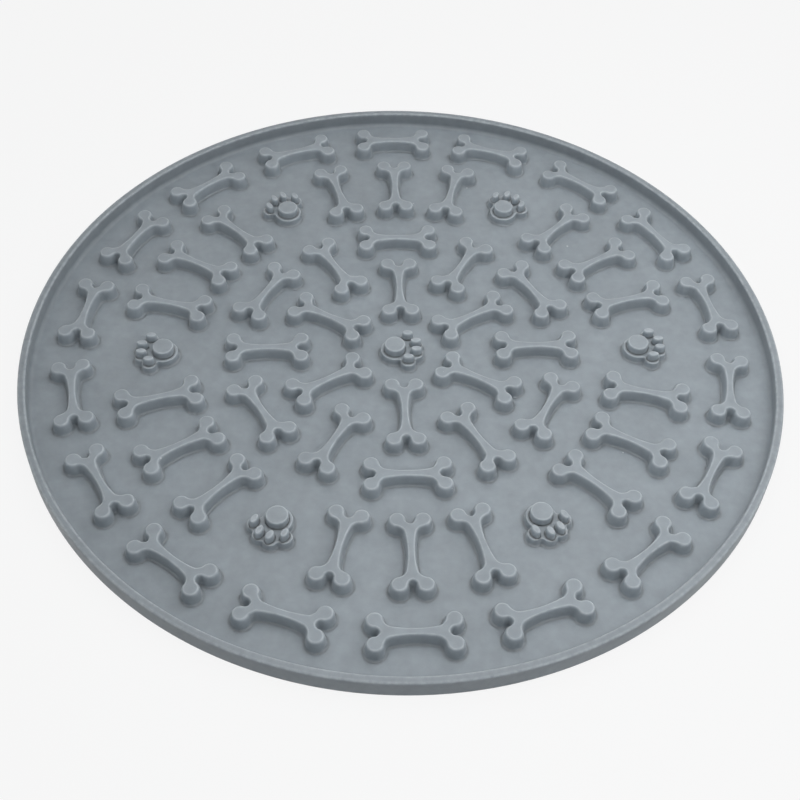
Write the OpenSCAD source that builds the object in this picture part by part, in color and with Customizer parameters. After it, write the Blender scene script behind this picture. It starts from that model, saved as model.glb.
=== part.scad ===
// Round silicone lick mat: a thin sheet with a raised rim, rows of bones and seven paws.
// The origin is the centre of the underside, +Z points up, and +X runs through a paw.
// Bones and paws stand on the sheet. Their sides lean in a little, with a hollow foot and a
// rounded top edge.

/* [Mat] */
// Outer diameter of the mat
mat_d = 200; // [180:1:260]
// Thickness of the flat sheet
sheet_t = 1.1; // [0.8:0.1:3]
// Rounding of the sheet's lower edge
foot_edge_r = 0.4; // [0.1:0.1:0.6]

/* [Rim] */
// Height of the rim above the sheet
rim_h = 4.4; // [3:0.1:9]
// Thickness of the rim
rim_w = 2; // [1.5:0.1:3]
// Rounding of the rim's two top edges
rim_edge_r = 0.55; // [0.2:0.05:0.7]
// Radius of the hollow corner between the sheet and the rim
cove_r = 1.2; // [0.4:0.1:2]

/* [Bone] */
// Length of a bone over its lobes, at the sheet and without the hollow foot
bone_l = 22.8; // [18:0.1:25]
// Diameter of each of the four lobes there
lobe_d = 4.8; // [3.6:0.1:5.4]
// Width of the notch between the two lobes of an end there
notch_w = 1.4; // [0.8:0.1:2]
// Width of the shaft at its middle there
shaft_w = 2.4; // [2:0.1:3.2]
// Radius of the shaft's long hollow side
shaft_r = 22.5; // [16:0.5:40]
// Radius of the hollow corner between the shaft and a lobe
shaft_corner_r = 1.6; // [1:0.1:2.2]
// Height of a bone above the sheet
bone_h = 3.5; // [2.5:0.1:4.4]
// Rounding of a bone's top edge
bone_edge_r = 0.4; // [0.1:0.05:0.45]
// Lean of all side walls, in degrees
lean_a = 3; // [1:0.5:5]
// Radius of the hollow foot where a bone or a paw meets the sheet
foot_r = 0.45; // [0.2:0.05:0.5]

/* [Paw] */
// Height of a paw above the sheet
paw_h = 4.1; // [3:0.1:4.4]
// Diameter of the raised main pad
pad_d = 5.7; // [4.6:0.1:6.2]
// Length of a raised toe, the way the paw points
toe_l = 3; // [2.4:0.1:3.4]
// Width of a raised toe
toe_w = 2; // [1.4:0.1:2.2]
// How far the pads and toes rise above their plate
pad_h = 1.3; // [0.8:0.1:1.8]
// Rounding of the top edges of pads and toes
pad_edge_r = 0.25; // [0.1:0.05:0.35]
// How far the plate reaches out around the main pad
pad_margin = 1; // [0.8:0.1:1.4]
// How far the plate reaches out past the tip of a toe
toe_margin = 0.5; // [0.3:0.05:0.8]
// Rounding of the plate's top edge
plate_edge_r = 0.2; // [0.1:0.05:0.3]
// Radius of the hollow corners in the plate's outline
plate_corner_r = 0.6; // [0.3:0.1:1]
// Radius round the main pad's centre on which the two middle toes lie
toe_arc_r = 5.8; // [5.4:0.1:6.6]
// Radius round the main pad's centre on which the two side toes lie
side_toe_arc_r = 5.45; // [5:0.05:6.2]
// Angle of a middle toe from the paw's centre line
toe_a = 14.5; // [13:0.5:17]
// Angle of a side toe from the paw's centre line
side_toe_a = 50.5; // [46:0.5:58]

/* [Pattern] */
// Number of bones in the inner ring, and of paws around the mat
ring_n = 6; // [5:1:6]
// Number of bones that follow the rim
edge_n = 18; // [12:1:20]
// Angle of an outer bone of a fan from its middle bone
fan_a = 15; // [14:0.5:16]

/* [Hidden] */
// Along a radius the rows leave some free length between the centre paw and the rim. These are
// the shares of it before the inner bones, the cross bones, the fans and the edge bones.
gap_shares = [0.22, 0.117, 0.239, 0.178];
// Place of the spoke bones on the way from the inner bones to the cross bones
spoke_share = 0.672;
// How far a raised pad is rooted in its plate
root_h = 0.3;
// Most of a narrow hollow's radius that the hollow foot beside it may take
foot_share = 0.8;
// Steps of a hollow foot and of a rounded top edge, and facets of small and large round shapes
foot_steps = 2;
edge_steps = 2;
small_fn = 40;
shaft_fn = 180;
mat_fn = 240;

mat_r = mat_d / 2;
wall_r = mat_r - rim_w;
// Cutting shapes run past what they cut by the thickness of the sheet
cut_over_l = sheet_t;
lobe_r = lobe_d / 2;
notch_r = notch_w / 2;
lobe_x = bone_l / 2 - lobe_r;
lobe_y = lobe_r + notch_r;
shaft_y = shaft_w / 2 + shaft_r;
bone_foot_r = min(foot_r, notch_r * foot_share);
bone_w = 2 * (lobe_y + lobe_r);
pad_x = -toe_arc_r / 3;
paw_reach = pad_x + toe_arc_r * cos(toe_a) + toe_l / 2 + toe_margin;

free_l = wall_r - paw_reach - 2 * bone_l - 2 * bone_w;
inner_ring_r = paw_reach + gap_shares[0] * free_l + bone_l / 2;
cross_ring_r = inner_ring_r + bone_l / 2 + gap_shares[1] * free_l + bone_w / 2;
fan_ring_r = cross_ring_r + bone_w / 2 + gap_shares[2] * free_l + bone_l / 2;
edge_ring_r = fan_ring_r + bone_l / 2 + gap_shares[3] * free_l + bone_w / 2;
spoke_ring_r = inner_ring_r + spoke_share * (cross_ring_r - inner_ring_r);

silicone = [0.52, 0.56, 0.59];
numbers = [for (i = [1 : ring_n]) i];
edge_numbers = [for (i = [1 : edge_n]) i];

// The point at distance r1 from c1 and r2 from c2, to the left of the way from c1 to c2
function meeting(c1, r1, c2, r2) =
    let (
        d = norm(c2 - c1),
        ahead = (d * d + r1 * r1 - r2 * r2) / (2 * d),
        aside = sqrt(r1 * r1 - ahead * ahead),
        way = (c2 - c1) / d
    )
    c1 + ahead * way + aside * [-way.y, way.x];

function polar(r, a) = r * [cos(a), sin(a)];
function mirrored(p) = [p.x, -p.y];

// The side of a moulded wall of height h as [radius, height] points, where way is 1 for a solid
// and -1 for a hollow: it leans in from radius r at the floor, flares out by foot there, and
// rounds over by edge at the top
function side(r, h, foot, edge, way) =
    concat([
        for (i = [foot > 0 ? 0 : foot_steps : foot_steps])
            let (a = 90 * i / foot_steps, z = foot * (1 - cos(a)))
            [r + way * (foot * (1 - sin(a)) - z * tan(lean_a)), z]
    ], [
        for (i = [0 : edge_steps])
            let (a = 90 * i / edge_steps, lean = (h - edge) * tan(lean_a))
            [r - way * (lean + edge * (1 - cos(a))), h - edge * (1 - sin(a))]
    ]);

// A round moulded stud
module stud(place, r, h, foot, edge) {
    translate(place)
        rotate_extrude($fn = small_fn)
            polygon(concat([[0, 0]], side(r, h, foot, edge, 1), [[0, h]]));
}

// An oval moulded stud, length l along X and width w, rooted in what it stands on
module oval_stud(place, l, w, h, edge) {
    flank = side(w / 2, h, 0, edge, 1);
    other_flank = [for (i = [len(flank) - 1 : -1 : 0]) [-flank[i].x, flank[i].y]];
    reach = (l - w) / 2;
    for (x = [-reach, reach])
        stud(place + [x, 0], w / 2, h, 0, edge);
    translate([place.x - reach, place.y, 0])
        rotate([90, 0, 90])
            linear_extrude(2 * reach)
                polygon(concat(flank, other_flank));
}

// The cutter for a round hollow that stands beside a stud and touches it at every height
module hollow(place, r, h, foot, edge, facets = small_fn) {
    flank = side(r, h, foot, edge, -1);
    mouth = flank[len(flank) - 1].x;
    translate(place)
        rotate_extrude($fn = facets)
            polygon(concat([[0, -cut_over_l], [flank[0].x, -cut_over_l]], flank,
                [[mouth, h + cut_over_l], [0, h + cut_over_l]]));
}

// One bone along X: four studs, and a block between their centres that the hollows shape
module bone() {
    corner = meeting([lobe_x, lobe_y], lobe_r + shaft_corner_r,
        [0, shaft_y], shaft_r - shaft_corner_r);
    // The long hollow ends where it runs into the corner hollows
    run = shaft_r + lobe_r;
    tip = [0, shaft_y] + run * (corner - [0, shaft_y]) / norm(corner - [0, shaft_y]);
    for (x = [-1, 1], y = [-1, 1])
        stud([x * lobe_x, y * lobe_y], lobe_r, bone_h, bone_foot_r, bone_edge_r);
    difference() {
        translate([-lobe_x, -lobe_y, 0])
            cube([2 * lobe_x, 2 * lobe_y, bone_h]);
        for (x = [-1, 1])
            hollow([x * lobe_x, 0], notch_r, bone_h, bone_foot_r, bone_edge_r);
        for (x = [-1, 1], y = [-1, 1])
            hollow([x * corner.x, y * corner.y], shaft_corner_r, bone_h, bone_foot_r,
                bone_edge_r);
        for (y = [-1, 1])
            intersection() {
                hollow([0, y * shaft_y], shaft_r, bone_h, bone_foot_r, bone_edge_r, shaft_fn);
                translate([0, 0, -2 * cut_over_l])
                    linear_extrude(bone_h + 4 * cut_over_l)
                        polygon([[0, y * shaft_y], [-tip.x, y * tip.y], [tip.x, y * tip.y]]);
            }
    }
}

// One paw with its toes towards +X: a scalloped plate that carries the main pad and four toes
module paw() {
    plate_h = paw_h - pad_h;
    pad = [pad_x, 0];
    toe = pad + polar(toe_arc_r, toe_a);
    side_toe = pad + polar(side_toe_arc_r, side_toe_a);
    pad_r = pad_d / 2 + pad_margin;
    toe_r = toe_l / 2 + toe_margin;
    foot = min(foot_r, plate_corner_r * foot_share);
    toe_away = toe_r + plate_corner_r;
    heel_corner = meeting(pad, pad_r + plate_corner_r, side_toe, toe_away);
    toe_corner = meeting(side_toe, toe_away, toe, toe_away);
    tip_corner = meeting(toe, toe_away, mirrored(toe), toe_away);
    corners = [heel_corner, toe_corner, tip_corner, mirrored(toe_corner), mirrored(heel_corner)];
    toes = [side_toe, toe, mirrored(toe), mirrored(side_toe)];
    for (place = toes)
        stud(place, toe_r, plate_h, foot, plate_edge_r);
    stud(pad, pad_r, plate_h, foot, plate_edge_r);
    difference() {
        linear_extrude(plate_h)
            polygon(concat([pad], [for (i = [0 : 3]) each [corners[i], toes[i]]], [corners[4]]));
        for (place = corners)
            hollow(place, plate_corner_r, plate_h, foot, plate_edge_r);
    }
    translate([0, 0, plate_h - root_h]) {
        stud(pad, pad_d / 2, pad_h + root_h, 0, pad_edge_r);
        for (place = toes)
            oval_stud(place, toe_l, toe_w, pad_h + root_h, pad_edge_r);
    }
}

// Puts a shape on the sheet at radius r and angle a, turned by turn from the radius
module planted(r, a, turn = 0) {
    rotate(a)
        translate([r, 0, sheet_t])
            rotate(turn)
                children();
}

module sheet() {
    color(silicone)
        rotate_extrude($fn = mat_fn) {
            translate([0, foot_edge_r])
                square([mat_r, sheet_t - foot_edge_r]);
            square([mat_r - foot_edge_r, sheet_t]);
            translate([mat_r - foot_edge_r, foot_edge_r])
                circle(foot_edge_r, $fn = small_fn);
        }
}

module rim() {
    color(silicone)
        translate([0, 0, sheet_t])
            rotate_extrude($fn = mat_fn) {
                translate([wall_r, 0])
                    square([rim_w, rim_h - rim_edge_r]);
                translate([wall_r + rim_edge_r, 0])
                    square([rim_w - 2 * rim_edge_r, rim_h]);
                for (x = [wall_r + rim_edge_r, mat_r - rim_edge_r])
                    translate([x, rim_h - rim_edge_r])
                        circle(rim_edge_r, $fn = small_fn);
                difference() {
                    translate([wall_r - cove_r, 0])
                        square([cove_r + rim_edge_r, cove_r]);
                    translate([wall_r - cove_r, cove_r])
                        circle(cove_r, $fn = small_fn);
                }
            }
}

module centre_paw() {
    color(silicone)
        planted(0, 0)
            paw();
}

module ring_paw(i) {
    color(silicone)
        planted(fan_ring_r, (i - 1) * 360 / ring_n)
            paw();
}

module inner_bone(i) {
    color(silicone)
        planted(inner_ring_r, (i - 0.5) * 360 / ring_n)
            bone();
}

module spoke_bone(i) {
    color(silicone)
        planted(spoke_ring_r, (i - 1) * 360 / ring_n)
            bone();
}

module cross_bone(i) {
    color(silicone)
        planted(cross_ring_r, (i - 0.5) * 360 / ring_n, 90)
            bone();
}

module bone_fan(i) {
    color(silicone)
        for (step = [-1, 0, 1])
            planted(fan_ring_r, (i - 0.5) * 360 / ring_n + step * fan_a)
                bone();
}

module edge_bone(i) {
    color(silicone)
        planted(edge_ring_r, (i - 0.5) * 360 / edge_n, 90)
            bone();
}

sheet();
rim();
centre_paw();
for (i = numbers) {
    ring_paw(i);
    inner_bone(i);
    spoke_bone(i);
    cross_bone(i);
    bone_fan(i);
}
for (i = edge_numbers)
    edge_bone(i);
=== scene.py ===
import math
import bpy
from mathutils import Matrix, Vector


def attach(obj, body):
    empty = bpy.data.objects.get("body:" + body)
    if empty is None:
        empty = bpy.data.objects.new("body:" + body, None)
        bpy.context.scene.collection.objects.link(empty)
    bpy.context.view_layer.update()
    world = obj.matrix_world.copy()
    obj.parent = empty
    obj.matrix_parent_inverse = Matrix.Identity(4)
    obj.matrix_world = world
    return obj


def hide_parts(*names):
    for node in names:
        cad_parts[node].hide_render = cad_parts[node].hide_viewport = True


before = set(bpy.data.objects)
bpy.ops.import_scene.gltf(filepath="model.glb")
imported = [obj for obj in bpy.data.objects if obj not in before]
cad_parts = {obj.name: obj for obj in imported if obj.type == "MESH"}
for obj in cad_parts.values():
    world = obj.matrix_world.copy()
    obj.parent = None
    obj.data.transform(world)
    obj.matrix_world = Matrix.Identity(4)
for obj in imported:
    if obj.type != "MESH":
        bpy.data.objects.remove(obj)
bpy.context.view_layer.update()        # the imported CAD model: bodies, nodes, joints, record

# Round silicone lick mat with raised bones and paws. Sizes in the dictionaries are in
# millimetres, and mm turns them into Blender's metres.
mm = 0.001
print("frame loaded:", len(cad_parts), "CAD nodes")


# Small helpers for node trees
def addNode(tree, kind, inputs, output=0, **settings):
    node = tree.nodes.new(kind)
    for name, value in settings.items():
        setattr(node, name, value)
    for key, value in inputs.items():
        if isinstance(value, bpy.types.NodeSocket):
            tree.links.new(value, node.inputs[key])
        else:
            node.inputs[key].default_value = value
    return node.outputs[output]


def calc(tree, operation, a, b=0.0):
    return addNode(tree, "ShaderNodeMath", {0: a, 1: b}, operation=operation)


def startTree(name, sockets):
    tree = bpy.data.node_groups.new(name, "GeometryNodeTree")
    for label, kind, value in sockets:
        socket = tree.interface.new_socket(label, in_out="INPUT", socket_type="NodeSocket" + kind)
        if value is not None:
            socket.default_value = value
    tree.interface.new_socket("Geometry", in_out="OUTPUT", socket_type="NodeSocketGeometry")
    return tree, tree.nodes.new("NodeGroupInput").outputs


def endTree(tree, geometry, material):
    whole = addNode(tree, "GeometryNodeRealizeInstances", {"Geometry": geometry})
    painted = addNode(tree, "GeometryNodeSetMaterial", {"Geometry": whole, "Material": material})
    tree.links.new(painted, tree.nodes.new("NodeGroupOutput").inputs["Geometry"])


# Runs a tree on a piece with these inputs and keeps the result as a plain mesh
def growPiece(piece, tree, values):
    modifier = piece.modifiers.new(tree.name, "NODES")
    modifier.node_group = tree
    for item in tree.interface.items_tree:
        if item.in_out == "INPUT" and item.name in values:
            modifier[item.identifier] = values[item.name]
    graph = bpy.context.evaluated_depsgraph_get()
    grown = bpy.data.meshes.new_from_object(piece.evaluated_get(graph))
    piece.modifiers.clear()
    piece.data = grown
    grown.name = piece.name
    return piece


def newPiece(name, verts, edges, faces):
    mesh = bpy.data.meshes.new(name)
    mesh.from_pydata(verts, edges, faces)
    piece = bpy.data.objects.new(name, mesh)
    bpy.context.scene.collection.objects.link(piece)
    return piece


def addNumbers(mesh, name, values):
    mesh.attributes.new(name, "FLOAT", "POINT").data.foreach_set("value", values)


# Silicone: matt blue-grey, cloudy, with a painted highlight that makes the edges paler, and a
# little dust.
# A noise is its size, its detail and its seed.
siliconeLook = {
    "colour": (0.272, 0.308, 0.337),
    # Painted highlight: the pale colour laid on rounded edges, and how much of it shows
    "edgeHighlightColour": (0.50, 0.54, 0.57, 1),
    "highlighted": 0.6,           # how much of the painted highlight colour shows on the edges
    "clouds": (24, 3, 0),    # broad ones in the colour
    "cloudSpread": (0.95, 1.05),
    "mottles": (2.6, 4, 3),  # fine ones
    "mottleSpread": (0.92, 1.08),
    "patches": (1.4, 3, 7),  # where the painted edge highlight is stronger or weaker
    "patchSpread": (0.05, 1),
    "dustColour": (0.62, 0.65, 0.67, 1),
    "dustShown": 0.6,
    "dustEvery": 5.5,        # size of the cells that may hold a speck
    "dustFrom": 0.86,        # cells with a draw above this hold one
    "dustSize": 0.055,       # radius of the largest speck, as a share of a cell
    "softness": 2.4,         # how far light scatters under the surface
    "dullness": (5.2, 3, 11),
    "roughness": (0.44, 0.56),
    "waves": (5, 2, 17),
    "waveDepth": 0.03,
    "grain": (0.42, 2, 23),
    "grainDepth": 0.02,
    "reliefShown": 0.6,      # how much of the waves and the grain shows
    "bending": 1.43,         # index of refraction
    "sheen": 0.06,
    "sheenRoughness": 0.5,
}


def makeSilicone(look):
    material = bpy.data.materials.new("blueGreySilicone")
    material.use_nodes = True
    tree = material.node_tree
    tree.nodes.clear()
    place = addNode(tree, "ShaderNodeTexCoord", {}, "Object")

    def noise(name):
        size, detail, seed = look[name]
        return addNode(tree, "ShaderNodeTexNoise", {"Vector": place, "W": seed,
                       "Scale": 1 / (size * mm), "Detail": detail}, noise_dimensions="4D")

    def spread(value, name):     # the middle half of a noise, widened to these ends
        low, high = look[name]
        return addNode(tree, "ShaderNodeMapRange", {"Value": value, "From Min": 0.25,
                       "From Max": 0.75, "To Min": low, "To Max": high})

    def relief(name, depth, **under):
        return addNode(tree, "ShaderNodeBump", {"Strength": look["reliefShown"],
                       "Distance": look[depth] * mm, "Height": noise(name), **under})

    # Painted highlight along rounded edges, read from the mesh attribute
    highlight = addNode(tree, "ShaderNodeAttribute", {}, "Fac", attribute_name="paintedEdgeHighlight")
    # Random tone of each bone or paw, and painted shade on the rim, read from the mesh attribute
    toneAndPaintedShade = addNode(tree, "ShaderNodeAttribute", {}, "Fac", attribute_name="toneAndPaintedShade")
    clouds = spread(noise("clouds"), "cloudSpread")
    mottles = spread(noise("mottles"), "mottleSpread")
    level = calc(tree, "MULTIPLY", calc(tree, "MULTIPLY", clouds, mottles),
                 calc(tree, "ADD", toneAndPaintedShade, 1))
    base = addNode(tree, "ShaderNodeVectorMath", {0: look["colour"], "Scale": level},
                   operation="SCALE")
    patches = spread(noise("patches"), "patchSpread")
    # The painted highlight: the pale colour mixed in on rounded edges, in patches
    highlightShare = calc(tree, "MULTIPLY", calc(tree, "MULTIPLY", highlight, patches), look["highlighted"])
    highlighted = addNode(tree, "ShaderNodeMix", {0: highlightShare, 6: base, 7: look["edgeHighlightColour"]}, 2,
                     data_type="RGBA")

    # A speck sits in the middle of a few of the cells
    cell = tree.nodes.new("ShaderNodeTexVoronoi")
    cell.inputs["Scale"].default_value = 1 / (look["dustEvery"] * mm)
    tree.links.new(place, cell.inputs["Vector"])
    draw = addNode(tree, "ShaderNodeSeparateColor", {"Color": cell.outputs["Color"]})
    size = addNode(tree, "ShaderNodeMapRange", {"Value": draw, "From Min": look["dustFrom"],
                   "From Max": 1, "To Min": 0, "To Max": look["dustSize"]})
    speck = calc(tree, "LESS_THAN", cell.outputs["Distance"], size)
    dusty = addNode(tree, "ShaderNodeMix", {0: calc(tree, "MULTIPLY", speck, look["dustShown"]),
                    6: highlighted, 7: look["dustColour"]}, 2, data_type="RGBA")

    dull = spread(noise("dullness"), "roughness")
    normal = relief("grain", "grainDepth", Normal=relief("waves", "waveDepth"))
    shader = addNode(tree, "ShaderNodeBsdfPrincipled", {
        "Base Color": dusty, "Roughness": dull, "Normal": normal, "IOR": look["bending"],
        "Sheen Weight": look["sheen"], "Sheen Roughness": look["sheenRoughness"],
        "Subsurface Weight": 1, "Subsurface Radius": (1, 1, 1),
        "Subsurface Scale": look["softness"] * mm})
    tree.links.new(shader, tree.nodes.new("ShaderNodeOutputMaterial").inputs["Surface"])
    return material


silicone = makeSilicone(siliconeLook)
print("silicone made")


# How strong the painted highlight is at a spot, by its distance from the middle of a rounded edge
def highlightAt(spot, edges, reach):
    near = min(math.dist(spot, edge) for edge in edges)
    return max(0.0, 1 - near / reach)


# Tray: the sheet and its rim, one cross-section swept round the middle
tray = {
    "outerRadius": 100,
    "wallRadius": 98,
    "sheetTop": 1.1,
    "rimTop": 5.5,
    "footRounding": 0.4,
    "edgeRounding": 0.55,
    "coveRounding": 1.2,
    "easing": 0.15,          # flat band kept beside each rounding, so that the shading stays flat
    "roundingSteps": 7,
    "ringsUnder": 3,         # rings of faces from the middle outwards, under the sheet
    "ringsOver": 6,          # the same on top of it
    "stepsAround": 360,
    "joinWithin": 0.001,     # points nearer than this become one
    # how far the painted edge highlight reaches from the middle of a rounded edge
    "highlightReach": 0.75,
    "rimShade": 0.18,        # painted shade: how much darker the rim is painted than the sheet
    "shadeHeight": 1.5,      # height over the sheet at which the painted shade is full
}


def traySection(s):
    outer, wall, top, floor = s["outerRadius"], s["wallRadius"], s["rimTop"], s["sheetTop"]
    foot, edge, cove, easing = (s["footRounding"], s["edgeRounding"], s["coveRounding"],
                                s["easing"])
    under, over = s["ringsUnder"], s["ringsOver"]
    # Radius, height and rounding of each corner, from under the middle to the top of it
    return [(outer * k / under, 0, 0) for k in range(under)] + [
        (outer - foot - easing, 0, 0), (outer, 0, foot), (outer, foot + easing, 0),
        (outer, top - edge - easing, 0), (outer, top, edge), (outer - edge - easing, top, 0),
        (wall + edge + easing, top, 0), (wall, top, edge), (wall, top - edge - easing, 0),
        (wall, floor + cove + easing, 0), (wall, floor, cove), (wall - cove - easing, floor, 0),
    ] + [(wall * k / over, floor, 0) for k in reversed(range(over))]


def makeSweepTree():
    tree, given = startTree("sweepRound", [
        ("Section", "Geometry", None), ("Guide radius", "Float", 0.05),
        ("Steps per rounding", "Int", 6), ("Steps around", "Int", 360),
        ("Join within", "Float", 1e-6), ("Material", "Material", None)])
    rounding = addNode(tree, "GeometryNodeInputNamedAttribute", {"Name": "rounding"}, 0,
                       data_type="FLOAT")
    line = addNode(tree, "GeometryNodeMeshToCurve", {"Mesh": given["Section"]})
    section = addNode(tree, "GeometryNodeFilletCurve", {"Curve": line, "Radius": rounding,
                      "Count": given["Steps per rounding"]}, mode="POLY")
    circle = addNode(tree, "GeometryNodeCurvePrimitiveCircle", {
        "Resolution": given["Steps around"], "Radius": given["Guide radius"]})
    guide = addNode(tree, "GeometryNodeSetCurveNormal", {"Curve": circle}, mode="Z_UP")
    swept = addNode(tree, "GeometryNodeCurveToMesh", {"Curve": guide, "Profile Curve": section})
    closed = addNode(tree, "GeometryNodeMergeByDistance", {
        "Geometry": swept, "Distance": given["Join within"]})
    outwards = addNode(tree, "GeometryNodeFlipFaces", {"Mesh": closed})
    smooth = addNode(tree, "GeometryNodeSetShadeSmooth", {"Geometry": outwards})
    endTree(tree, smooth, given["Material"])
    return tree


def makeTray(s):
    guide = s["outerRadius"] / 2
    section = traySection(s)
    # The sweep puts X of the section along the radius and Y of it downwards
    verts = [((r - guide) * mm, -z * mm, 0) for r, z, rounding in section]
    piece = newPiece("tray", verts, [(i, i + 1) for i in range(len(verts) - 1)], [])
    addNumbers(piece.data, "rounding", [rounding * mm for r, z, rounding in section])
    growPiece(piece, makeSweepTree(), {
        "Guide radius": guide * mm, "Steps per rounding": s["roundingSteps"],
        "Steps around": s["stepsAround"], "Join within": s["joinWithin"] * mm,
        "Material": silicone})
    # The middle of a rounded edge lies this far in from its corner, each way
    bend = s["edgeRounding"] * (1 - math.sqrt(0.5))
    edges = [(s["outerRadius"] - bend, s["rimTop"] - bend),
             (s["wallRadius"] + bend, s["rimTop"] - bend)]
    spots = [(v.co.xy.length / mm, v.co.z / mm) for v in piece.data.vertices]
    # Painted highlight along the rim's rounded top edges
    addNumbers(piece.data, "paintedEdgeHighlight", [highlightAt(spot, edges, s["highlightReach"]) for spot in spots])
    # Painted shade: the rim is painted darker, fully so from shadeHeight over the sheet
    addNumbers(piece.data, "toneAndPaintedShade", [
        -s["rimShade"] * min(1, max(0, (z - s["sheetTop"]) / s["shadeHeight"]))
        for r, z in spots])
    return piece


trayPiece = makeTray(tray)
print("tray swept:", len(trayPiece.data.polygons), "faces")


# Outlines are arcs that touch each other, walked anticlockwise. Each arc is its centre x and y,
# its radius, and 1 where it bulges out or -1 where it is hollow.
def touching(a, b):
    (ax, ay, ar, aWay), (bx, by, br, bWay) = a, b
    share = ar / (ar + br) if aWay != bWay else ar / (ar - br)
    return Vector((ax + (bx - ax) * share, ay + (by - ay) * share))


def walkArcs(arcs, chord, fewestSteps=3, widestStep=14):
    outline = []             # x, y and the outward direction at each point
    for i, (cx, cy, r, way) in enumerate(arcs):
        start = touching(arcs[i - 1], arcs[i]) - Vector((cx, cy))
        end = touching(arcs[i], arcs[(i + 1) % len(arcs)]) - Vector((cx, cy))
        a = math.atan2(start.y, start.x)
        turn = way * ((way * (math.atan2(end.y, end.x) - a)) % (2 * math.pi))
        steps = max(fewestSteps, math.ceil(abs(turn) * r / chord),
                    math.ceil(abs(turn) / math.radians(widestStep)))
        for k in range(steps):
            c, s = math.cos(a + turn * k / steps), math.sin(a + turn * k / steps)
            outline.append((cx + r * c, cy + r * s, way * c, way * s))
    return outline


def ovalOutline(x, y, length, width, steps):
    outline = []
    for k in range(steps):
        t = 2 * math.pi * k / steps
        n = Vector((math.cos(t) / length, math.sin(t) / width)).normalized()
        outline.append((x + length / 2 * math.cos(t), y + width / 2 * math.sin(t), n.x, n.y))
    return outline


# Where two circles meet, on the left of the way from the first centre to the second
def meeting(ax, ay, ar, bx, by, br):
    a, b = Vector((ax, ay)), Vector((bx, by))
    d = (b - a).length
    ahead = (d * d + ar * ar - br * br) / (2 * d)
    aside = math.sqrt(ar * ar - ahead * ahead)
    way = (b - a) / d
    return a + way * ahead + Vector((-way.y, way.x)) * aside


# The flank of a moulded shape: a skirt sunk in what it stands on, a hollow foot, a leaning wall,
# a rounded top edge and a flat band on the top. Each loop is its inset, its shares of the foot's
# and of the edge's width, its height and how much painted highlight it carries.
def flank(s, base=0.0):
    height, lean = s["height"], math.tan(math.radians(s["lean"]))
    footHeight, edgeHeight = s["foot"][1], s["edge"][1]
    turns = [math.pi / 2 * k / s["flankSteps"] for k in range(s["flankSteps"] + 1)]
    loops = [(0, 1, 0, -s["sunk"])]
    for a in turns:
        z = footHeight * (1 - math.cos(a))
        loops.append((z * lean, 1 - math.sin(a), 0, z))
    wallTop = height - edgeHeight
    wallMiddle = (footHeight + wallTop) / 2
    loops.append((lean * wallMiddle, 0, 0, wallMiddle))
    for a in turns:
        loops.append((lean * wallTop, 0, 1 - math.cos(a), wallTop + edgeHeight * math.sin(a)))
    loops.append((lean * wallTop, 0, 1 + s["band"], height))
    # The last column is the painted edge highlight, strongest at its place on the edge
    return [(inset, footShare, edgeShare, base + z,
             max(0.0, 1 - abs(edgeShare - s["highlightPlace"]) / s["highlightReach"]))
            for inset, footShare, edgeShare, z in loops]


# Where an outline leaves little room beside it, feet and edges are narrower there
roomRules = {
    "open": 99.0,            # room where nothing lies ahead
    "aheadFrom": 1e-6,       # points less far ahead count as beside
    "footShare": 0.92,       # most of the room outside that a foot takes
    "edgeShare": 0.5,        # most of the room inside that an edge takes
    "power": 4,              # how sharply a width turns from its own size to the room's
}


# Radius of the largest disc that touches the outline at each of its points, outside it where
# way is 1 and inside it where it is -1
def roomBeside(outline, way):
    rooms = []
    for x, y, nx, ny in outline:
        room = roomRules["open"]
        for px, py, *other in outline:
            dx, dy = px - x, py - y
            ahead = way * (dx * nx + dy * ny)
            if ahead > roomRules["aheadFrom"]:
                room = min(room, (dx * dx + dy * dy) / (2 * ahead))
        rooms.append(room)
    return rooms


# The width that a foot or an edge takes at each point
def widths(outline, width, way, share):
    power = roomRules["power"]
    return [(width ** -power + (share * room) ** -power) ** (-1 / power)
            for room in roomBeside(outline, way)]


# Stacks the loops of a flank along an outline
def mould(outline, loops, footWidth, edgeWidth):
    verts, faces, highlight = [], [], []
    count = len(outline)
    feet = widths(outline, footWidth, 1, roomRules["footShare"])
    edges = widths(outline, edgeWidth, -1, roomRules["edgeShare"])
    for inset, footShare, edgeShare, z, loopHighlight in loops:
        for (x, y, nx, ny), foot, edge in zip(outline, feet, edges):
            out = footShare * foot - edgeShare * edge - inset
            verts.append(((x + out * nx) * mm, (y + out * ny) * mm, z * mm))
        highlight += [loopHighlight] * count
    for level in range(0, count * (len(loops) - 1), count):
        for i in range(count):
            j = (i + 1) % count
            faces.append((level + i, level + j, level + count + j, level + count + i))
    faces.append(tuple(reversed(range(count))))
    faces.append(tuple(range(len(verts) - count, len(verts))))
    return verts, faces, highlight


# Joins moulded shapes into one mesh, smooth but where faces meet more sharply than sharpFrom
def pattern(name, shapes, sharpFrom=42):
    verts, faces, highlight = [], [], []
    for shapeVerts, shapeFaces, shapeHighlight in shapes:
        start = len(verts)
        verts += shapeVerts
        faces += [tuple(start + i for i in face) for face in shapeFaces]
        highlight += shapeHighlight
    piece = newPiece(name, verts, [], faces)
    # Painted highlight on the rounded edges, kept as a mesh attribute
    addNumbers(piece.data, "paintedEdgeHighlight", highlight)
    piece.data.polygons.foreach_set("use_smooth", [True] * len(faces))
    piece.data.set_sharp_from_angle(angle=math.radians(sharpFrom))
    return piece


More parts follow.
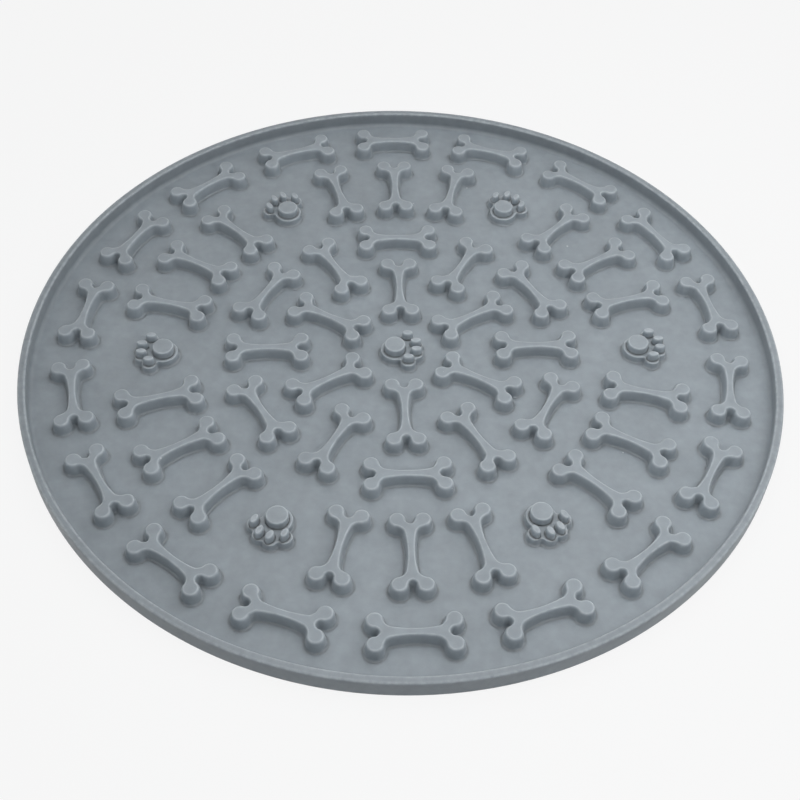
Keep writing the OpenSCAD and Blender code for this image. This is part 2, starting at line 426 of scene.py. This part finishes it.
# Bone: two lobes at each end, hollow corners and a shaft with long hollow sides
bone = {
    "lobeX": 9.0,
    "lobeY": 3.1,
    "lobeRadius": 2.4,
    "notchRadius": 0.7,
    "cornerRadius": 1.6,
    "shaftRadius": 22.5,
    "shaftY": 23.7,
    "height": 3.5,
    "foot": (0.55, 0.55),    # width and height of the hollow foot
    "edge": (0.8, 2.8),      # width and height of the rounded top edge
    "lean": 3,               # degrees
    "sunk": 0.25,            # how far the skirt reaches into what carries it
    "band": 0.3,             # flat band beside the edge, as a share of the edge's width
    "highlightPlace": 0.85,        # where the painted highlight line lies, as a share of the edge's width
    # how far the painted highlight reaches, as a share of the edge's width
    "highlightReach": 0.4,
    "flankSteps": 7,
    "chord": 0.45,           # length of the short straight steps along the outline
}


def boneOutline(s):
    lx, ly, lr = s["lobeX"], s["lobeY"], s["lobeRadius"]
    corner = meeting(lx, ly, lr + s["cornerRadius"], 0, s["shaftY"],
                     s["shaftRadius"] - s["cornerRadius"])
    kx, ky, kr = corner.x, corner.y, s["cornerRadius"]
    notch, shaft = s["notchRadius"], s["shaftRadius"]
    return walkArcs([
        (lx, 0, notch, -1), (lx, ly, lr, 1), (kx, ky, kr, -1), (0, s["shaftY"], shaft, -1),
        (-kx, ky, kr, -1), (-lx, ly, lr, 1), (-lx, 0, notch, -1), (-lx, -ly, lr, 1),
        (-kx, -ky, kr, -1), (0, -s["shaftY"], shaft, -1), (kx, -ky, kr, -1), (lx, -ly, lr, 1),
    ], s["chord"])


def makeBone(name):
    return pattern(name, [mould(boneOutline(bone), flank(bone), bone["foot"][0],
                                bone["edge"][0])])


# Paw: a scalloped plate that carries the main pad and four toes
paw = {
    "padX": -1.933,
    "toeReach": 5.8,         # from the main pad's middle to a middle toe's
    "sideToeReach": 5.45,
    "toeAngle": 14.5,        # from the way the paw points
    "sideToeAngle": 50.5,
    "plateHeight": 2.0,
    "padPlateRadius": 3.85,  # the plate round the main pad
    "toePlateRadius": 2.0,   # the plate round a toe
    "plateCornerRadius": 0.6,
    "padSize": (5.7, 5.7),   # length and width
    "toeSize": (3.05, 2.1),
    "foot": (0.55, 0.55),
    "plateEdge": (0.3, 0.35),
    "padRise": 2.1,          # how far the main pad and the toes rise above the plate
    "padFoot": (0.15, 0.15),
    "padEdge": (0.35, 0.45),
    "toeEdge": (0.6, 0.9),
    "lean": 3,
    "sunk": 0.25,
    "band": 0.3,
    # Painted highlight on the edges: where its line lies and how far it reaches, as shares of the
    # edge's width; on the toes it lies on the crest
    "highlightPlace": 0.7,
    "toeHighlightPlace": 1,
    "highlightReach": 0.7,
    "flankSteps": 5,
    "chord": 0.3,
    "padSteps": 48,
    "toeSteps": 28,
}


def makePaw(name):
    s = paw
    hub = Vector((s["padX"], 0))

    def toeAt(reach, angle):
        return hub + reach * Vector((math.cos(math.radians(angle)), math.sin(math.radians(angle))))

    toes = [toeAt(s["sideToeReach"], -s["sideToeAngle"]), toeAt(s["toeReach"], -s["toeAngle"]),
            toeAt(s["toeReach"], s["toeAngle"]), toeAt(s["sideToeReach"], s["sideToeAngle"])]
    studs = [(hub.x, hub.y, s["padPlateRadius"])]
    studs += [(toe.x, toe.y, s["toePlateRadius"]) for toe in toes]
    arcs, gap = [], s["plateCornerRadius"]
    for i, (x, y, r) in enumerate(studs):
        nx, ny, nr = studs[(i + 1) % len(studs)]
        corner = meeting(nx, ny, nr + gap, x, y, r + gap)
        arcs += [(x, y, r, 1), (corner.x, corner.y, gap, -1)]
    plate = flank({**s, "height": s["plateHeight"], "edge": s["plateEdge"]})
    raised = {**s, "height": s["padRise"], "foot": s["padFoot"]}
    pad = flank({**raised, "edge": s["padEdge"]}, s["plateHeight"])
    toeTop = flank({**raised, "edge": s["toeEdge"], "highlightPlace": s["toeHighlightPlace"]},
                   s["plateHeight"])
    shapes = [mould(walkArcs(arcs, s["chord"]), plate, s["foot"][0], s["plateEdge"][0])]
    shapes.append(mould(ovalOutline(hub.x, hub.y, *s["padSize"], s["padSteps"]), pad,
                        s["padFoot"][0], s["padEdge"][0]))
    for toe in toes:
        shapes.append(mould(ovalOutline(toe.x, toe.y, *s["toeSize"], s["toeSteps"]), toeTop,
                            s["padFoot"][0], s["toeEdge"][0]))
    return pattern(name, shapes)


# Rings: the pattern is set out in groups round the middle, and a group is one shape or a small
# fan of them. Angles are in degrees, and a turn stands a shape across the radius.
tintSpread = 0.015           # how much lighter or darker a single bone or paw may be
rings = {
    "innerBones": {"make": makeBone, "nodes": "inner_bone_", "groups": 6, "radius": 22.5199,
                   "start": 30},
    "spokeBones": {"make": makeBone, "nodes": "spoke_bone_", "groups": 6, "radius": 35.8201},
    "crossBones": {"make": makeBone, "nodes": "cross_bone_", "groups": 6, "radius": 42.3119,
                   "start": 30, "turn": 90},
    "fanBones": {"make": makeBone, "nodes": "bone_fan_", "groups": 6, "radius": 65.1195,
                 "start": 30, "fan": 3, "fanStep": 15},
    "edgeBones": {"make": makeBone, "nodes": "edge_bone_", "groups": 18, "radius": 86.4194,
                  "start": 10, "turn": 90},
    "ringPaws": {"make": makePaw, "nodes": "paw_", "groups": 6, "radius": 65.1195},
    "centrePaw": {"make": makePaw, "nodes": "centre_paw", "groups": 1, "radius": 0},
}


def makeRingTree():
    tree, given = startTree("ringOfShapes", [
        ("Shape", "Geometry", None), ("Groups", "Int", 6), ("Shapes in a group", "Int", 1),
        ("Angle in a group", "Float", 0.0), ("Ring radius", "Float", 0.05),
        ("Start angle", "Float", 0.0), ("Turn", "Float", 0.0), ("Lift", "Float", 0.001),
        ("Tint spread", "Float", 0.015), ("Seed", "Int", 1), ("Material", "Material", None)])
    index = addNode(tree, "GeometryNodeInputIndex", {})
    # The half keeps the quotient away from whole numbers, so that rounding down is safe
    group = calc(tree, "FLOOR", calc(tree, "DIVIDE", calc(tree, "ADD", index, 0.5),
                                     given["Shapes in a group"]))
    inGroup = calc(tree, "SUBTRACT", index, calc(tree, "MULTIPLY", group,
                                                 given["Shapes in a group"]))
    halfGroup = calc(tree, "DIVIDE", calc(tree, "SUBTRACT", given["Shapes in a group"], 1), 2)
    aside = calc(tree, "MULTIPLY", calc(tree, "SUBTRACT", inGroup, halfGroup),
                 given["Angle in a group"])
    step = calc(tree, "DIVIDE", 2 * math.pi, given["Groups"])
    angle = calc(tree, "ADD", calc(tree, "ADD", calc(tree, "MULTIPLY", group, step), aside),
                 given["Start angle"])
    place = addNode(tree, "ShaderNodeCombineXYZ", {
        "X": calc(tree, "MULTIPLY", calc(tree, "COSINE", angle), given["Ring radius"]),
        "Y": calc(tree, "MULTIPLY", calc(tree, "SINE", angle), given["Ring radius"]),
        "Z": given["Lift"]})
    turned = addNode(tree, "ShaderNodeCombineXYZ", {"Z": calc(tree, "ADD", angle, given["Turn"])})
    points = addNode(tree, "GeometryNodePoints", {
        "Count": calc(tree, "MULTIPLY", given["Groups"], given["Shapes in a group"]),
        "Position": place})
    copies = addNode(tree, "GeometryNodeInstanceOnPoints", {
        "Points": points, "Instance": given["Shape"],
        "Rotation": addNode(tree, "FunctionNodeEulerToRotation", {"Euler": turned})})
    shade = addNode(tree, "FunctionNodeRandomValue", {
        2: calc(tree, "MULTIPLY", given["Tint spread"], -1), 3: given["Tint spread"],
        "Seed": given["Seed"]}, 1, data_type="FLOAT")
    tinted = addNode(tree, "GeometryNodeStoreNamedAttribute", {
        "Geometry": copies, "Name": "toneAndPaintedShade", "Value": shade}, data_type="FLOAT", domain="INSTANCE")
    endTree(tree, tinted, given["Material"])
    return tree


ringTree = makeRingTree()
ringPieces = []
for seed, (name, ring) in enumerate(rings.items()):
    piece = growPiece(ring["make"](name), ringTree, {
        "Groups": ring["groups"], "Shapes in a group": ring.get("fan", 1),
        "Angle in a group": math.radians(ring.get("fanStep", 0)),
        "Ring radius": ring["radius"] * mm, "Start angle": math.radians(ring.get("start", 0)),
        "Turn": math.radians(ring.get("turn", 0)), "Lift": tray["sheetTop"] * mm,
        "Tint spread": tintSpread, "Seed": seed + 1, "Material": silicone})
    nodes = [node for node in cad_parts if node.rstrip("0123456789") == ring["nodes"]]
    ringPieces.append((piece, nodes))
    print(name, "set out:", len(piece.data.polygons), "faces for", len(nodes), "CAD nodes")


# Each piece rides on the mat's one body and stands for its CAD nodes
for piece, nodes in [(trayPiece, ["sheet", "rim"])] + ringPieces:
    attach(piece, "root")
    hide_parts(*nodes)


# Studio: a pale floor, a white surround and soft lamps above
studio = {
    "floorColour": (0.42, 0.43, 0.44, 1),
    "floorShare": 0.12,      # how much of the lit floor shows through the white
    "floorReach": 1.5,
    "floorZ": -0.0001,       # just under the mat
    "fill": 0.44,            # strength of the even light from all round
    "lamps": [               # place, the point it shines at, size and power, in metres and watts
        ((0.1, -0.05, 0.19), (0.1, -0.05, 0), 0.4, 0.53),
        ((-0.606, 0, 0.35), (0, 0, 0), 0.6, 0.12),
    ],
}


def seenDirectly(tree):      # 1 for what the camera, a gloss or a clear surface sees
    rays = tree.nodes.new("ShaderNodeLightPath").outputs
    seen = calc(tree, "MAXIMUM", rays["Is Camera Ray"], rays["Is Glossy Ray"])
    return calc(tree, "MAXIMUM", seen, rays["Is Transmission Ray"])


def makeFloor(s):
    reach = s["floorReach"]
    corners = [(-reach, -reach), (reach, -reach), (reach, reach), (-reach, reach)]
    floor = newPiece("floor", [(x, y, s["floorZ"]) for x, y in corners], [], [(0, 1, 2, 3)])
    material = bpy.data.materials.new("paleFloor")
    material.use_nodes = True
    tree = material.node_tree
    tree.nodes.clear()
    lit = addNode(tree, "ShaderNodeBsdfDiffuse", {"Color": s["floorColour"]})
    white = addNode(tree, "ShaderNodeEmission", {"Color": (1, 1, 1, 1), "Strength": 1.0})
    share = calc(tree, "MULTIPLY", seenDirectly(tree), 1 - s["floorShare"])
    shown = addNode(tree, "ShaderNodeMixShader", {0: share, 1: lit, 2: white})
    # From below the floor is clear, so that the underside can be looked at
    below = addNode(tree, "ShaderNodeNewGeometry", {}, "Backfacing")
    clear = addNode(tree, "ShaderNodeBsdfTransparent", {})
    both = addNode(tree, "ShaderNodeMixShader", {0: below, 1: shown, 2: clear})
    tree.links.new(both, tree.nodes.new("ShaderNodeOutputMaterial").inputs["Surface"])
    floor.data.materials.append(material)


def makeSurround(s):
    world = bpy.data.worlds.new("surround")
    bpy.context.scene.world = world
    world.use_nodes = True
    tree = world.node_tree
    tree.nodes.clear()
    soft = addNode(tree, "ShaderNodeBackground", {"Color": (1, 1, 1, 1), "Strength": s["fill"]})
    white = addNode(tree, "ShaderNodeBackground", {"Color": (1, 1, 1, 1), "Strength": 1.0})
    both = addNode(tree, "ShaderNodeMixShader", {0: seenDirectly(tree), 1: soft, 2: white})
    tree.links.new(both, tree.nodes.new("ShaderNodeOutputWorld").inputs["Surface"])


def makeLamps(s):
    for number, (place, target, size, power) in enumerate(s["lamps"]):
        light = bpy.data.lights.new("softLamp%d" % (number + 1), "AREA")
        light.shape = "DISK"
        light.size = size
        light.energy = power
        lamp = bpy.data.objects.new(light.name, light)
        lamp.location = place
        ahead = Vector(target) - Vector(place)
        lamp.rotation_euler = ahead.to_track_quat("-Z", "Y").to_euler()
        lamp.visible_camera = False
        bpy.context.scene.collection.objects.link(lamp)


makeFloor(studio)
makeSurround(studio)
makeLamps(studio)
print("studio lit")


# Camera: where the photograph was taken from, for a square image
camera = {
    "place": (-13.55, -232.75, 256.9),
    "down": 49.689,          # degrees below the horizon
    "aside": -3.309,         # degrees turned to the left of +Y
    "roll": 1.919,
    "imageWidth": 800,
    "focalLength": 1291.2,   # in the image's pixels
    "clipStart": 10,
}


def makeCamera(s):
    down, aside, roll = (math.radians(s[name]) for name in ("down", "aside", "roll"))
    ahead = Vector((-math.cos(down) * math.sin(aside), math.cos(down) * math.cos(aside),
                    -math.sin(down)))
    level = Vector((math.cos(aside), math.sin(aside), 0))
    up = level.cross(ahead)
    right = math.cos(roll) * level + math.sin(roll) * up
    top = math.cos(roll) * up - math.sin(roll) * level
    lens = bpy.data.cameras.new("photoCamera")
    lens.sensor_fit = "HORIZONTAL"
    lens.angle_x = 2 * math.atan(s["imageWidth"] / 2 / s["focalLength"])
    lens.clip_start = s["clipStart"] * mm
    eye = bpy.data.objects.new("photoCamera", lens)
    eye.matrix_world = Matrix.Translation(Vector(s["place"]) * mm) @ Matrix(
        (right, top, -ahead)).transposed().to_4x4()
    bpy.context.scene.collection.objects.link(eye)
    bpy.context.scene.camera = eye


makeCamera(camera)
bpy.context.scene.view_settings.view_transform = "Standard"
